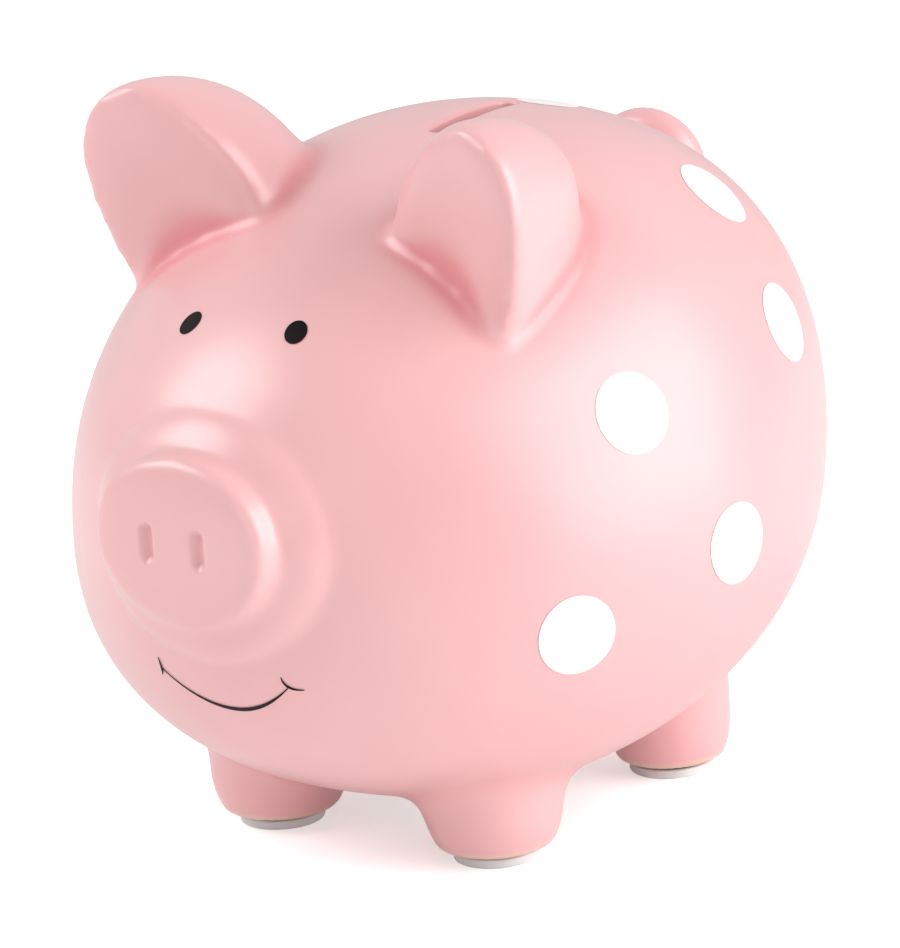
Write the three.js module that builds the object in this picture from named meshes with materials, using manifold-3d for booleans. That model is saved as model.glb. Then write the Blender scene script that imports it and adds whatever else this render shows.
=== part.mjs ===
// Ceramic piggy bank: a slip-cast, hollow earthenware pig with a coin slot in its
// crown and a rubber stopper in its belly, standing on four stick-on foot pads.
// Millimetres, +Z up. The snout faces -Y and the pig's left side is +X.

import * as THREE from 'three';
import { mergeVertices } from 'three/addons/utils/BufferGeometryUtils.js';
import Module from 'manifold-3d';

const wasm = await Module();
wasm.setup();

// ---------------------------------------------------------------- driving sizes

const body = {
  halfWidth: 78.8,
  halfLength: 90,
  crownHeight: 79.2, // widest level up to the crown
  bellyDepth: 60.5, // widest level down to the belly
  widestLevel: 70.6, // above the table
  sectionPower: 2.2, // 2 is an ellipse, more is squarer
  endNarrowing: 0.076, // share of the width lost at the snout and the rump
  rearRise: 2.6,
  lean: 0.15, // how far the upper part leans towards the rump, mm per mm
  chinTuck: 0.25, // how much the chin tucks in under the forehead
  wall: 4.5,
};

const coinSlot = { length: 29, width: 5, fromMiddle: 17 };

const muzzle = { halfWidth: 31, halfHeight: 27, height: 83.5, rise: 4, shoulder: 0.3 };
const snout = {
  halfWidth: 22.8,
  halfHeight: 19.2,
  height: 84.5,
  frontAt: -95.6,
  rim: 3.4,
  dome: 1.3,
  waist: 0.6, // how much narrower the drum gets behind its rim
};
const nostril = { apart: 13.4, halfWidth: 1.5, halfHeight: 4, depth: 2.2 };

const ear = {
  rootMiddle: new THREE.Vector3(34.7, -39.5, 134.6), // middle of the front face's foot
  toOuterCorner: new THREE.Vector3(16.2, -2.4, -11.6),
  toTip: new THREE.Vector3(15.8, -7, 29.5),
  toBack: new THREE.Vector3(1, 39, 2.5),
  backFullness: 2.4, // 2 is an ellipse, more is fuller
  rimDepth: 3.2,
  cupDepth: 2.4,
};

const leg = {
  apart: 57.6,
  frontAt: -30.1,
  rearAt: 34.8,
  frontRadius: 15.2,
  rearRadius: 13.8,
  cornerHeight: 6.5,
  fillet: 7,
  soleMargin: 0.6, // flat ring of the sole round the pad
};
const pad = { radius: 9.2, thickness: 2 };
const adhesive = { radius: 8.4, thickness: 0.3 };
const restGap = 0.1; // between flat pieces that rest on each other

const stopperHole = { radius: 15, clearance: 0.3 };
const stopper = {
  flangeRadius: 18.5,
  flange: 2,
  plugLength: 7.5,
  cup: 5, // depth of the hollow in the plug
  skin: 2.4, // wall round the hollow
  neck: 0.5, // how much thinner the plug is under its lip
};
const fingerTab = { length: 16, depth: 3.6, thickness: 3, taper: 1.6, root: 0.5 };
const recessClearance = 0.8;

const tail = {
  radius: 4.5,
  loopRadius: 8.4,
  height: 121.5,
  start: -110, // degrees round the loop, 0 is the pig's left
  turn: 300,
  tuck: 4, // how far the loop starts inside the rump
  climb: 8, // how far the curl grows out of the rump
  root: { x: -3, behind: 14, below: 12 },
};
const cutGap = 0.3; // between pieces whose curved faces meet

const decal = { lift: cutGap, thickness: 0.4 };
const dotRadius = 8.8;
const crownDotRadius = 6.8; // the crown's dot is a smaller one, to clear the slot
const eye = { halfWidth: 2.2, halfHeight: 2.8 };
const eyes = { eye_left: [12.3, 124.2], eye_right: [-15.2, 123.1] }; // [x, height] on the face
const smile = { halfWidth: 16.8, sag: 7.6, height: 52.4, thickness: 0.75, offset: 1 };

// Where each dot sits: degrees round the body from the crown (+ is the pig's left)
// and millimetres along it from the middle (+ is towards the rump).
const dots = {
  dot_left_1: [65, -25],
  dot_left_2: [99.7, -46],
  dot_left_3: [91, -4.5],
  dot_left_4: [62, 32],
  dot_left_5: [38, 37],
  dot_crown: [3, 38.5],
  dot_right_1: [-63, -20],
  dot_right_2: [-98, -38],
  dot_right_3: [-90, 2],
  dot_right_4: [-64, 36],
  dot_right_5: [-34, 43],
  dot_rump_1: [122, 56],
  dot_rump_2: [-120, 58],
  dot_rump_3: [74, 71],
  dot_rump_4: [-71, 69],
};

// ---------------------------------------------------------------- materials

function finish(color, roughness) {
  return new THREE.MeshStandardMaterial({ color, roughness, metalness: 0 });
}

const pinkGlaze = finish(0xecb9bb, 0.35);
const whiteTransfer = finish(0xfdfbfa, 0.35);
const blackTransfer = finish(0x16110f, 0.2);
const stopperRubber = finish(0xd9d6d2, 0.6);
const padFoam = finish(0xd4d6d9, 0.5);
const adhesiveFilm = finish(0x8d8784, 0.6);

// ---------------------------------------------------------------- solids

function solidOf(geometry) {
  const bare = geometry.clone();
  bare.deleteAttribute('normal');
  bare.deleteAttribute('uv');
  const welded = mergeVertices(bare, 1e-5);
  return new wasm.Manifold(new wasm.Mesh({
    numProp: 3,
    vertProperties: new Float32Array(welded.attributes.position.array),
    triVerts: new Uint32Array(welded.index.array),
  }));
}

function geometryOf(solid) {
  const mesh = solid.getMesh();
  const geometry = new THREE.BufferGeometry();
  geometry.setAttribute('position', new THREE.BufferAttribute(mesh.vertProperties, 3));
  geometry.setIndex(new THREE.BufferAttribute(mesh.triVerts, 1));
  geometry.computeVertexNormals();
  return geometry;
}

// Moves every vertex of a geometry to where place(vertex) puts it.
function reshape(geometry, place) {
  const position = geometry.attributes.position;
  const vertex = new THREE.Vector3();
  for (let i = 0; i < position.count; i += 1) {
    vertex.fromBufferAttribute(position, i);
    place(vertex);
    position.setXYZ(i, vertex.x, vertex.y, vertex.z);
  }
  return geometry;
}

// The same geometry on the other side of the pig, with its faces still pointing out.
function mirrored(geometry) {
  const flipped = geometry.clone().scale(-1, 1, 1);
  const index = flipped.index;
  for (let i = 0; i < index.count; i += 3) {
    const second = index.getX(i + 1);
    index.setX(i + 1, index.getX(i + 2));
    index.setX(i + 2, second);
  }
  return flipped;
}

// A shape turned round the z axis from a closed list of [radius, height] pairs.
function turned(profile, segments) {
  const points = profile.map(([radius, height]) => new THREE.Vector2(radius, height));
  return new THREE.LatheGeometry(points, segments).rotateX(Math.PI / 2);
}

// ---------------------------------------------------------------- body surface

// Under 1 inside the body's outer surface, 1 on it. An inset makes the body
// smaller all round, and a negative one makes it bigger.
function bodyLevel(point, inset) {
  const rise = point.z - body.widestLevel;
  let along = (point.y - body.lean * rise) / (body.halfLength - inset);
  along += body.chinTuck * (rise / body.crownHeight) * Math.max(0, -along) ** 2;
  const level = rise - body.rearRise * along;
  const height = (level > 0 ? body.crownHeight : body.bellyDepth) - inset;
  const width = (body.halfWidth - inset) * (1 - body.endNarrowing * along * along);
  const section = Math.abs(point.x / width) ** body.sectionPower
    + Math.abs(level / height) ** body.sectionPower;
  return section ** (2 / body.sectionPower) + along * along;
}

// The point where a ray from inside the body leaves its surface.
function leaveBody(start, direction, inset = 0) {
  let near = 0;
  let far = 1.6 * body.halfLength;
  const point = new THREE.Vector3();
  for (let i = 0; i < 40; i += 1) {
    const middle = (near + far) / 2;
    point.copy(start).addScaledVector(direction, middle);
    if (bodyLevel(point, inset) < 1) {
      near = middle;
    } else {
      far = middle;
    }
  }
  return point;
}

function bodyNormal(point) {
  const step = 0.05;
  const slope = ['x', 'y', 'z'].map((axis) => {
    const ahead = point.clone();
    const behind = point.clone();
    ahead[axis] += step;
    behind[axis] -= step;
    return bodyLevel(ahead, 0) - bodyLevel(behind, 0);
  });
  return new THREE.Vector3(...slope).normalize();
}

const bodyMiddle = new THREE.Vector3(0, 0, body.widestLevel);
const up = new THREE.Vector3(0, 0, 1);
const down = new THREE.Vector3(0, 0, -1);
const forward = new THREE.Vector3(0, -1, 0);

function bodyForm(inset, around, along) {
  const ball = new THREE.SphereGeometry(1, around, along);
  return solidOf(reshape(ball, (vertex) => {
    const stretch = new THREE.Vector3(body.halfWidth, body.halfLength, body.crownHeight);
    vertex.copy(leaveBody(bodyMiddle, vertex.multiply(stretch).normalize(), inset));
  }));
}

function undersideAt(x, y) {
  return leaveBody(new THREE.Vector3(x, y, body.widestLevel), down).z;
}

function faceAt(x, z) {
  return leaveBody(new THREE.Vector3(x, 0, z), forward).y;
}

// ---------------------------------------------------------------- ceramic parts

// The muzzle is a raised oval of the face with a rounded shoulder. In its profile
// the radius is a share of its half sizes, and the height a share of its rise.
function muzzleForm() {
  const sunk = -8;
  const profile = [[0, sunk], [1, sunk], [1, 0]];
  for (let angle = 15; angle <= 90; angle += 25) {
    const turn = THREE.MathUtils.degToRad(angle);
    profile.push([1 - muzzle.shoulder * (1 - Math.cos(turn)), Math.sin(turn)]);
  }
  profile.push([0.4, 1], [0, 1]);
  return solidOf(reshape(turned(profile, 36), (vertex) => {
    const x = vertex.x * muzzle.halfWidth;
    const z = muzzle.height + vertex.y * muzzle.halfHeight;
    vertex.set(x, faceAt(x, z) - muzzle.rise * vertex.z, z);
  }));
}

// The snout is an oval drum with a slightly domed face, a soft rim and a waist. In
// its profile a radius up to 1 is a share of the flat face, and what is more than 1
// is millimetres of the rim beyond it.
function snoutForm() {
  const back = 40;
  const side = 1 + snout.rim;
  const profile = [[0, back], [side, back], [side, 14]];
  profile.push([side - snout.waist, 8], [side - 0.7 * snout.waist, 5]);
  for (let angle = 90; angle >= 0; angle -= 22.5) {
    const turn = THREE.MathUtils.degToRad(angle);
    profile.push([1 + snout.rim * Math.sin(turn), snout.rim * (1 - Math.cos(turn))]);
  }
  profile.push([0.6, -0.64 * snout.dome], [0, -snout.dome]);
  return solidOf(reshape(turned(profile, 36), (vertex) => {
    const reach = Math.hypot(vertex.x, vertex.y);
    const across = reach > 0 ? vertex.x / reach : 0;
    const upward = reach > 0 ? vertex.y / reach : 0;
    const share = Math.min(reach, 1);
    const spare = Math.max(0, reach - 1);
    vertex.set(
      across * (share * (snout.halfWidth - snout.rim) + spare),
      snout.frontAt + vertex.z,
      snout.height + upward * (share * (snout.halfHeight - snout.rim) + spare),
    );
  }));
}

function nostrilForm(side) {
  const pit = new THREE.SphereGeometry(1, 16, 12);
  pit.scale(nostril.halfWidth, nostril.depth, nostril.halfHeight);
  pit.translate(side * nostril.apart / 2, snout.frontAt - 0.7 * snout.dome, snout.height);
  return solidOf(pit);
}

// An ear is a leaf: a cupped front face with a round rim, and a full back that
// runs down into the head.
function earForm(side) {
  const leaf = new THREE.SphereGeometry(1, 28, 20);
  const front = new THREE.Vector3().crossVectors(ear.toOuterCorner, ear.toTip).normalize();
  reshape(leaf.rotateX(Math.PI / 2), (vertex) => {
    const reach = Math.min(1, Math.hypot(vertex.x, vertex.y));
    const turn = Math.atan2(vertex.y, vertex.x);
    const across = reach * Math.sign(Math.cos(turn)) * Math.abs(Math.cos(turn)) ** 0.8;
    const upward = reach * Math.sign(Math.sin(turn)) * Math.abs(Math.sin(turn)) ** 1.2;
    const isFront = vertex.z > 0;
    const cup = ear.cupDepth * (1 - reach * reach) ** 2;
    const rim = ear.rimDepth * Math.sqrt(1 - reach ** 8);
    const back = isFront ? 0 : (1 - reach ** ear.backFullness) ** 0.5;
    vertex.copy(ear.rootMiddle)
      .addScaledVector(ear.toOuterCorner, across)
      .addScaledVector(ear.toTip, upward < 0 ? 0.7 * upward : upward)
      .addScaledVector(ear.toBack, back)
      .addScaledVector(front, isFront ? rim - cup - ear.rimDepth : 0);
  });
  return solidOf(side > 0 ? leaf : mirrored(leaf));
}

// A leg is a round stub with a soft lower corner and a fillet up to the belly. In
// its profile, heights from filletCode up are steps along the fillet, and topCode
// is the leg's top inside the belly.
function legForm(side, at, radius) {
  const filletCode = 100;
  const topCode = 200;
  const x = side * leg.apart / 2;
  const sole = pad.thickness + adhesive.thickness + 2 * restGap;
  const flat = pad.radius + leg.soleMargin;
  const profile = [[0, 0], [flat, 0]];
  for (let angle = 22.5; angle <= 90; angle += 22.5) {
    const turn = THREE.MathUtils.degToRad(angle);
    profile.push([
      flat + (radius - flat) * Math.sin(turn),
      leg.cornerHeight * (1 - Math.cos(turn)),
    ]);
  }
  const filletSteps = [0, 0.25, 0.5, 0.75, 1];
  filletSteps.forEach((step) => {
    profile.push([radius + leg.fillet * step * step, filletCode + step]);
  });
  profile.push([radius, topCode], [0, topCode]);
  return solidOf(reshape(turned(profile, 28), (vertex) => {
    const reach = Math.hypot(vertex.x, vertex.y);
    const outX = reach > 0 ? vertex.x / reach : 1;
    const outY = reach > 0 ? vertex.y / reach : 0;
    const edge = undersideAt(x + outX * radius, at + outY * radius);
    const wide = radius + leg.fillet;
    const top = undersideAt(x + outX * wide, at + outY * wide) + 0.8;
    let z = sole + vertex.z;
    if (vertex.z >= topCode) {
      z = reach > 0 ? top + 4 : body.widestLevel / 2;
    } else if (vertex.z >= filletCode) {
      const step = vertex.z - filletCode;
      const start = Math.max(sole + leg.cornerHeight + 0.1, edge - leg.fillet);
      const bend = Math.max(edge, start);
      z = (1 - step) ** 2 * start + 2 * step * (1 - step) * bend + step * step * top;
    }
    vertex.set(x + vertex.x, at + vertex.y, z);
  }));
}

const legPlaces = [
  ['front_left', 1, leg.frontAt, leg.frontRadius],
  ['front_right', -1, leg.frontAt, leg.frontRadius],
  ['rear_left', 1, leg.rearAt, leg.rearRadius],
  ['rear_right', -1, leg.rearAt, leg.rearRadius],
];

const bellyLevel = undersideAt(0, 0);
const flangeSeat = undersideAt(stopper.flangeRadius, 0);
const slotLevel = leaveBody(new THREE.Vector3(0, coinSlot.fromMiddle, body.widestLevel), up).z;

// The coin slot is a long hole with round ends, cut down through the crown.
function slotForm() {
  const outline = new THREE.Shape();
  const straight = (coinSlot.length - coinSlot.width) / 2;
  outline.absarc(0, straight, coinSlot.width / 2, 0, Math.PI, false);
  outline.absarc(0, -straight, coinSlot.width / 2, Math.PI, 2 * Math.PI, false);
  outline.closePath();
  const reach = 4 * body.wall;
  const hole = new THREE.ExtrudeGeometry(outline, {
    depth: 2 * reach,
    bevelEnabled: false,
    curveSegments: 8,
  });
  return solidOf(hole.translate(0, coinSlot.fromMiddle, slotLevel - reach));
}

function rod(radius, from, to, segments) {
  const post = new THREE.CylinderGeometry(radius, radius, to - from, segments);
  return solidOf(post.rotateX(Math.PI / 2).translate(0, 0, (from + to) / 2));
}

function ceramicBody() {
  let form = bodyForm(0, 48, 32).add(muzzleForm()).add(snoutForm());
  [1, -1].forEach((side) => {
    form = form.add(earForm(side)).subtract(nostrilForm(side));
  });
  legPlaces.forEach(([, side, at, radius]) => {
    form = form.add(legForm(side, at, radius));
  });
  return form
    .subtract(bodyForm(body.wall, 32, 20))
    .subtract(slotForm())
    .subtract(rod(stopperHole.radius, bellyLevel - 5, bellyLevel + 20, 40))
    .subtract(rod(stopper.flangeRadius + recessClearance, bellyLevel - 5, flangeSeat, 48));
}

// ---------------------------------------------------------------- loose parts

// The tail is one rolled curl, cut to the rump it is luted to.
function tailCurl() {
  const rump = leaveBody(new THREE.Vector3(0, 0, tail.height), new THREE.Vector3(0, 1, 0)).y;
  const { x, behind, below } = tail.root;
  const route = [new THREE.Vector3(x, rump - behind, tail.height - below)];
  const steps = 9;
  for (let i = 0; i <= steps; i += 1) {
    const share = i / steps;
    const turn = THREE.MathUtils.degToRad(tail.start - tail.turn * share);
    route.push(new THREE.Vector3(
      tail.loopRadius * Math.cos(turn),
      rump - tail.tuck + tail.climb * share,
      tail.height + tail.loopRadius * Math.sin(turn),
    ));
  }
  const curve = new THREE.CatmullRomCurve3(route);
  const section = new THREE.Shape();
  section.absarc(0, 0, tail.radius, 0, 2 * Math.PI, false);
  const curl = new THREE.ExtrudeGeometry(section, { extrudePath: curve, steps: 34, curveSegments: 5 });
  const tip = new THREE.SphereGeometry(tail.radius, 14, 8);
  tip.translate(...route.at(-1).toArray());
  return solidOf(curl).add(solidOf(tip)).subtract(bodyForm(-cutGap, 60, 40));
}

// The stopper is a soft cup plug with a flange and a finger tab.
function bellyStopper() {
  const plug = stopperHole.radius - stopperHole.clearance;
  const seat = flangeSeat - restGap;
  const underside = seat - stopper.flange;
  const top = seat + stopper.plugLength;
  const cup = plug - stopper.skin;
  const profile = [
    [0, underside],
    [stopper.flangeRadius - 0.8, underside],
    [stopper.flangeRadius, underside + 0.8],
    [stopper.flangeRadius, seat],
    [plug - stopper.neck, seat],
    [plug - stopper.neck, top - 2.6],
    [plug, top - 1.8],
    [plug - 0.8, top],
    [cup, top],
    [cup, top - stopper.cup],
    [0, top - stopper.cup],
  ];
  const rootHalf = fingerTab.length / 2;
  const tipHalf = rootHalf - fingerTab.taper;
  const bar = new THREE.Shape();
  bar.moveTo(-rootHalf, fingerTab.root);
  bar.lineTo(-tipHalf, -fingerTab.depth);
  bar.lineTo(tipHalf, -fingerTab.depth);
  bar.lineTo(rootHalf, fingerTab.root);
  bar.closePath();
  const tab = new THREE.ExtrudeGeometry(bar, { depth: fingerTab.thickness, bevelEnabled: false });
  tab.translate(0, 0, -fingerTab.thickness / 2).rotateX(Math.PI / 2).translate(0, 0, underside);
  return solidOf(turned(profile, 48)).add(solidOf(tab));
}

function disc(radius, from, to) {
  const bevel = 0.15;
  return turned([[0, from], [radius, from], [radius, to - bevel], [radius - bevel, to], [0, to]], 28);
}

// ---------------------------------------------------------------- transfers

// Lays a flat piece, drawn in x and y with its thickness up z, on the body at
// the given point, where its x runs level and its y runs up the body.
function layOnBody(geometry, at) {
  const out = bodyNormal(at);
  const level = new THREE.Vector3(-out.y, out.x, 0).normalize();
  const upward = new THREE.Vector3().crossVectors(out, level);
  return reshape(geometry, (vertex) => {
    const start = at.clone()
      .addScaledVector(level, vertex.x)
      .addScaledVector(upward, vertex.y)
      .addScaledVector(out, -12);
    const foot = leaveBody(start, out);
    vertex.copy(foot.addScaledVector(bodyNormal(foot), decal.lift + vertex.z));
  });
}

function oval(halfWidth, halfHeight, segments, at) {
  const top = decal.thickness;
  const profile = [[0, 0], [0.55, 0], [1, 0], [1, top], [0.55, top], [0, top]];
  return layOnBody(turned(profile, segments).scale(halfWidth, halfHeight, 1), at);
}

// A pen stroke on the face. It follows route(share) as [x, z], and it narrows from
// its middle to a third of its width at its ends.
function stroke(route, width, steps) {
  const strip = new THREE.BoxGeometry(1, 1, 1, steps, 1, 1);
  return solidOf(reshape(strip, (vertex) => {
    const share = vertex.x + 0.5;
    const [x, z] = route(share);
    const [aheadX, aheadZ] = route(share + 0.01);
    const [behindX, behindZ] = route(share - 0.01);
    const slope = new THREE.Vector2(aheadX - behindX, aheadZ - behindZ).normalize();
    const reach = vertex.y * width * (0.35 + 0.65 * Math.sin(Math.PI * share));
    const at = new THREE.Vector3(x - slope.y * reach, 0, z + slope.x * reach);
    const foot = leaveBody(at, forward);
    const height = decal.lift + (vertex.z + 0.5) * decal.thickness;
    vertex.copy(foot.addScaledVector(bodyNormal(foot), height));
  }));
}

function smileLine() {
  const bow = stroke((share) => {
    const across = 2 * share - 1;
    const low = smile.sag * (1 - across * across);
    return [smile.offset + across * smile.halfWidth, smile.height - low];
  }, smile.thickness, 28);
  const ticks = [1, -1].map((side) => stroke((share) => [
    smile.offset + side * (smile.halfWidth - 1 - 0.2 * share + 4.4 * share * share),
    smile.height + 2.4 - 6.7 * share + 3.8 * share * share,
  ], 0.6 * smile.thickness, 8));
  return geometryOf(bow.add(ticks[0]).add(ticks[1]));
}

// ---------------------------------------------------------------- assembly

const pig = new THREE.Group();

function fit(name, geometry, material) {
  const mesh = new THREE.Mesh(geometry, material);
  mesh.name = name;
  pig.add(mesh);
  return mesh;
}

fit('ceramic_body', geometryOf(ceramicBody()), pinkGlaze);
fit('tail_curl', geometryOf(tailCurl()), pinkGlaze);
fit('belly_stopper', geometryOf(bellyStopper()), stopperRubber);

legPlaces.forEach(([name, side, at]) => {
  const place = [side * leg.apart / 2, at, 0];
  const film = pad.thickness + restGap;
  fit(`foot_pad_${name}`, disc(pad.radius, 0, pad.thickness), padFoam).position.set(...place);
  fit(`pad_adhesive_${name}`, disc(adhesive.radius, film, film + adhesive.thickness), adhesiveFilm)
    .position.set(...place);
});

Object.entries(eyes).forEach(([name, [x, height]]) => {
  const start = new THREE.Vector3(x, 0, height);
  fit(name, oval(eye.halfWidth, eye.halfHeight, 16, leaveBody(start, forward)), blackTransfer);
});
fit('smile_line', smileLine(), blackTransfer);

Object.entries(dots).forEach(([name, [around, along]]) => {
  const turn = THREE.MathUtils.degToRad(around);
  const start = new THREE.Vector3(0, along, body.widestLevel);
  const at = leaveBody(start, new THREE.Vector3(Math.sin(turn), 0, Math.cos(turn)));
  const radius = name === 'dot_crown' ? crownDotRadius : dotRadius;
  fit(name, oval(radius, radius, 20, at), whiteTransfer);
});

// The origin is on the table, under the middle of the whole pig.
const extent = new THREE.Box3().setFromObject(pig);
pig.position.y = -(extent.min.y + extent.max.y) / 2;

const bank = new THREE.Group();
bank.add(pig);

export default bank;
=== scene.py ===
"""Ceramic piggy bank: a slip-cast pink pig with a coin slot in its crown, standing on stick-on pads."""

from math import cos, pi, radians, sin

import bmesh
import bpy
import numpy as np
from mathutils import Matrix, Vector


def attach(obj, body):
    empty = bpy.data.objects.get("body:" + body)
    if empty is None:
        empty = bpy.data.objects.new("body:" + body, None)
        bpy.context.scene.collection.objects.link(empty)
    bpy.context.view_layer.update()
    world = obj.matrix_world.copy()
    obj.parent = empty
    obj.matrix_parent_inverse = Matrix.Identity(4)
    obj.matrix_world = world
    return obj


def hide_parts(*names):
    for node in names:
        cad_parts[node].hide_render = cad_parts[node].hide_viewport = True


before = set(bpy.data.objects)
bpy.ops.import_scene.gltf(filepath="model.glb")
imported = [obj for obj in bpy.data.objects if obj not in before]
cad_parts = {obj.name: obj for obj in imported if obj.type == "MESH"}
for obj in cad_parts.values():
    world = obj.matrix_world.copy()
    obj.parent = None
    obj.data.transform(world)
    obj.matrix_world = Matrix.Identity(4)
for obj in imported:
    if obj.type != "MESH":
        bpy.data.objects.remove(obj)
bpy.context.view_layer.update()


# ---------------------------------------------------------------- ceramic body
# The bank is one slip-cast earthenware shell: body, muzzle, snout, ears and legs come
# out of one plaster mould, so every joint between them is a soft fillet. It is bisque
# fired, sprayed with a satin pink glaze and fired again.

MM = 0.001

EGG_WIDTH = 78.8 * MM  # half sizes of the mould's egg
EGG_LENGTH = 90 * MM
EGG_CROWN = 79.2 * MM
EGG_BELLY = 60.5 * MM
EGG_LEVEL = 70.6 * MM  # its widest level above the table
EGG_BACK = 2.9012 * MM  # its middle, behind the middle of the whole pig
EGG_POWER = 2.2  # 2 is an ellipse, more is squarer
END_NARROWING = 0.076
REAR_RISE = 2.6 * MM
LEAN = 0.15
CHIN_TUCK = 0.25
WALL = 4.5 * MM

egg_middle = np.array([0, EGG_BACK, EGG_LEVEL])


def egg_value(points, inset=0.0):
    """Under 1 inside the egg, 1 on it and more outside."""
    x, y, z = (points - egg_middle).T
    along = (y - LEAN * z) / (EGG_LENGTH - inset)
    along = along + CHIN_TUCK * (z / EGG_CROWN) * np.maximum(0, -along) ** 2
    level = z - REAR_RISE * along
    height = np.where(level > 0, EGG_CROWN, EGG_BELLY) - inset
    width = (EGG_WIDTH - inset) * (1 - END_NARROWING * along ** 2)
    section = np.abs(x / width) ** EGG_POWER + np.abs(level / height) ** EGG_POWER
    return section ** (2 / EGG_POWER) + along ** 2


def out_to_egg(starts, directions, inset=0.0):
    """Where rays from inside the egg leave it."""
    near = np.zeros((len(starts), 1))
    far = np.full((len(starts), 1), 2.2 * EGG_LENGTH)
    for _ in range(44):
        half = (near + far) / 2
        inside = (egg_value(starts + half * directions, inset) < 1)[:, None]
        near = np.where(inside, half, near)
        far = np.where(inside, far, half)
    return starts + near * directions


def egg_normal(points):
    step = 0.05 * MM
    slope = [egg_value(points + step * axis) - egg_value(points - step * axis) for axis in np.eye(3)]
    slope = np.array(slope).T
    return slope / np.linalg.norm(slope, axis=1)[:, None]


def face_y(x, z):
    """The y of the face at that x and z."""
    start = np.array([[x, EGG_BACK, z]])
    return out_to_egg(start, np.array([[0.0, -1.0, 0.0]]))[0, 1]


def belly_z(x, y):
    start = np.array([[x, y, EGG_LEVEL]])
    return out_to_egg(start, np.array([[0.0, 0.0, -1.0]]))[0, 2]


def deselect():
    if bpy.context.mode != "OBJECT":
        bpy.ops.object.mode_set(mode="OBJECT")
    bpy.ops.object.select_all(action="DESELECT")


def name_new(name):
    """Names the object just added, and its mesh."""
    piece = bpy.context.object
    piece.name = name
    piece.data.name = name
    return piece


def pick(piece):
    deselect()
    piece.select_set(True)
    bpy.context.view_layer.objects.active = piece


def settle(piece):
    """Puts a piece's place into its mesh."""
    pick(piece)
    bpy.ops.object.transform_apply(location=True, rotation=True, scale=True)


def corners(piece):
    flat = np.empty(3 * len(piece.data.vertices))
    piece.data.vertices.foreach_get("co", flat)
    return flat.reshape(-1, 3)


def move_corners(piece, points):
    piece.data.vertices.foreach_set("co", np.asarray(points, float).ravel())
    piece.data.update()


def face_outwards(piece):
    """Closes doubled corners and points every face out."""
    pick(piece)
    bpy.ops.object.mode_set(mode="EDIT")
    bpy.ops.mesh.select_all(action="SELECT")
    bpy.ops.mesh.remove_doubles(threshold=1e-6)
    bpy.ops.mesh.normals_make_consistent(inside=False)
    bpy.ops.object.mode_set(mode="OBJECT")


def finish_with(piece, kind, **settings):
    """Adds a modifier and applies it."""
    pick(piece)
    bpy.ops.object.modifier_add(type=kind)
    modifier = piece.modifiers[-1]
    for key, value in settings.items():
        setattr(modifier, key, value)
    bpy.ops.object.modifier_apply(modifier=modifier.name)


def egg(name, inset, around, rings):
    deselect()
    bpy.ops.mesh.primitive_uv_sphere_add(segments=around, ring_count=rings, radius=1)
    piece = name_new(name)
    rays = corners(piece) * [EGG_WIDTH, EGG_LENGTH, EGG_CROWN]
    rays /= np.linalg.norm(rays, axis=1)[:, None]
    move_corners(piece, out_to_egg(np.tile(egg_middle, (len(rays), 1)), rays, inset))
    return piece


def turned(name, profile, segments):
    """A solid of revolution round z, from a profile of (radius, height) that starts and ends on the axis."""
    deselect()
    points = [(radius, 0, height) for radius, height in profile]
    outline = bpy.data.meshes.new(name)
    outline.from_pydata(points, [(i, i + 1) for i in range(len(points) - 1)], [])
    piece = bpy.data.objects.new(name, outline)
    bpy.context.collection.objects.link(piece)
    pick(piece)
    bpy.ops.object.mode_set(mode="EDIT")
    bpy.ops.mesh.select_all(action="SELECT")
    bpy.ops.mesh.spin(steps=segments, angle=2 * pi, center=(0, 0, 0), axis=(0, 0, 1))
    bpy.ops.object.mode_set(mode="OBJECT")
    face_outwards(piece)
    return piece


MUZZLE_WIDTH = 31 * MM
MUZZLE_HEIGHT = 27 * MM
MUZZLE_LEVEL = 83.5 * MM
MUZZLE_RISE = 4 * MM
MUZZLE_SHOULDER = 0.3  # share of the muzzle's radius


def muzzle():
    """A raised oval of the face with a rounded shoulder."""
    profile = [(0, -8), (1, -8), (1, 0)]
    for turn in np.radians(np.arange(10, 91, 10)):
        profile.append((1 - MUZZLE_SHOULDER * (1 - cos(turn)), sin(turn)))
    profile += [(share, 1) for share in (0.55, 0.4, 0.2, 0)]
    piece = turned("muzzle", profile, 96)
    placed = []
    for across, upward, rise in corners(piece):
        x = across * MUZZLE_WIDTH
        z = MUZZLE_LEVEL + upward * MUZZLE_HEIGHT
        placed.append((x, face_y(x, z) - MUZZLE_RISE * rise, z))
    move_corners(piece, placed)
    face_outwards(piece)
    return piece


SNOUT_WIDTH = 22.8 * MM
SNOUT_HEIGHT = 19.2 * MM
SNOUT_LEVEL = 84.5 * MM
SNOUT_FRONT = EGG_BACK - 95.6 * MM
SNOUT_RIM = 3.4 * MM
SNOUT_DOME = 1.3 * MM
SNOUT_WAIST = 0.8 * MM
SNOUT_WAIST_FROM = 5 * MM  # behind the rim
SNOUT_WAIST_TO = 8 * MM
SNOUT_FOOT = 14 * MM  # where the drum is back to its full width
SNOUT_ROOT = 40 * MM  # and how far it runs on inside the body


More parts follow.
